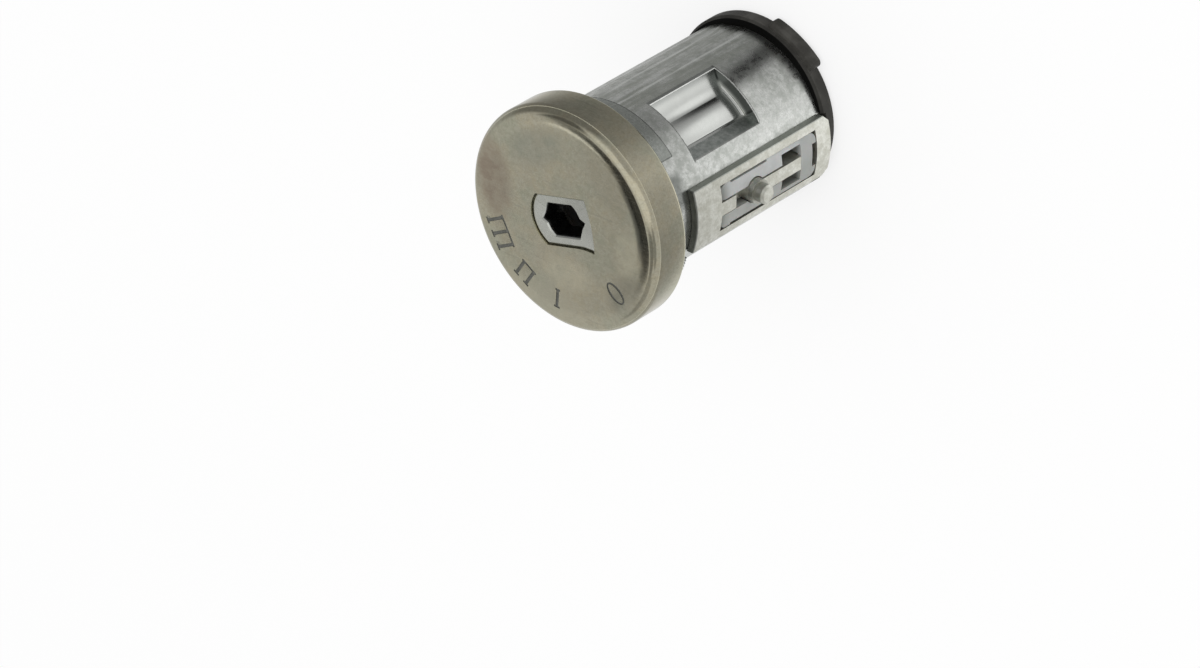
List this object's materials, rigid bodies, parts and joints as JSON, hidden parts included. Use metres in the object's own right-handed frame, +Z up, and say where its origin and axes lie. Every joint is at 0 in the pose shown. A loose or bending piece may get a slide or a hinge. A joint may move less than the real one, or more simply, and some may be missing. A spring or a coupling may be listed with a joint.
{
  "type": "lock cylinder",
  "caption": "Ignition lock cylinder: capped zinc barrel with a fixed keyhole nose, a turning disc tumbler rotor and a sprung retaining pin.",
  "frame": {"origin": "centre of the rear closure's rear face, where the lock stands", "axes": "+Z up the lock axis to the marked face, +X out through the latch pin, +Y completes the right-handed frame"},
  "size_m": [0.036, 0.036, 0.045],
  "materials": {
    "cast_zinc": "bright zinc die casting",
    "brushed_stainless": "brushed, warm grey",
    "black_plastic": "satin moulded",
    "spring_steel": "bright wire",
    "plated_zinc": "warm grey plated casting",
    "white_acetal": "satin white",
    "rotor_zinc": "turned zinc",
    "plain_steel": "oiled steel",
    "disc_brass": "punched brass"
  },
  "bodies": {
    "casing": {"housing": "cast_zinc", "face_cap": "brushed_stainless", "rear_closure": "black_plastic", "retaining_clip": "spring_steel", "side_rail": "plated_zinc", "latch_cradle": "white_acetal", "latch_spring": "spring_steel"},
    "latch": {"latch_pin": "plated_zinc"},
    "rotor": {"rotor": "rotor_zinc", "rear_guide_plate": "plain_steel", "side_bar": "plain_steel", "side_bar_spring_front": "spring_steel", "side_bar_spring_rear": "spring_steel", "drive_coupling": "plain_steel", "spacer_plate_1": "plain_steel", "spacer_plate_2": "plain_steel", "spacer_plate_3": "plain_steel", "spacer_plate_4": "plain_steel", "spacer_plate_5": "plain_steel"},
    "tumbler_1": {"tumbler_disc_1": "disc_brass"},
    "tumbler_2": {"tumbler_disc_2": "disc_brass"},
    "tumbler_3": {"tumbler_disc_3": "disc_brass"},
    "tumbler_4": {"tumbler_disc_4": "disc_brass"},
    "tumbler_5": {"tumbler_disc_5": "disc_brass"},
    "tumbler_6": {"tumbler_disc_6": "disc_brass"}
  },
  "joints": [
    {"name": "rotor_turn", "type": "hinge", "parent": "casing", "child": "rotor", "pos_m": [0, 0, 0], "axis": [0, 0, -1], "range_deg": [0, 111.6]},
    {"name": "latch_press", "type": "slide", "parent": "casing", "child": "latch", "axis": [-1, 0, 0], "range_m": [0, 0.0019], "stiffness_N_per_m": 400, "springref_m": -0.003, "deforming": ["latch_spring"]},
    {"name": "tumbler_1_turn", "type": "hinge", "parent": "rotor", "child": "tumbler_1", "pos_m": [0, 0, 0], "axis": [0, 0, -1], "range_deg": [0, 60]},
    {"name": "tumbler_2_turn", "type": "hinge", "parent": "rotor", "child": "tumbler_2", "pos_m": [0, 0, 0], "axis": [0, 0, -1], "range_deg": [0, 60]},
    {"name": "tumbler_3_turn", "type": "hinge", "parent": "rotor", "child": "tumbler_3", "pos_m": [0, 0, 0], "axis": [0, 0, -1], "range_deg": [0, 60]},
    {"name": "tumbler_4_turn", "type": "hinge", "parent": "rotor", "child": "tumbler_4", "pos_m": [0, 0, 0], "axis": [0, 0, -1], "range_deg": [0, 60]},
    {"name": "tumbler_5_turn", "type": "hinge", "parent": "rotor", "child": "tumbler_5", "pos_m": [0, 0, 0], "axis": [0, 0, -1], "range_deg": [0, 60]},
    {"name": "tumbler_6_turn", "type": "hinge", "parent": "rotor", "child": "tumbler_6", "pos_m": [0, 0, 0], "axis": [0, 0, -1], "range_deg": [0, 60]}
  ]
}
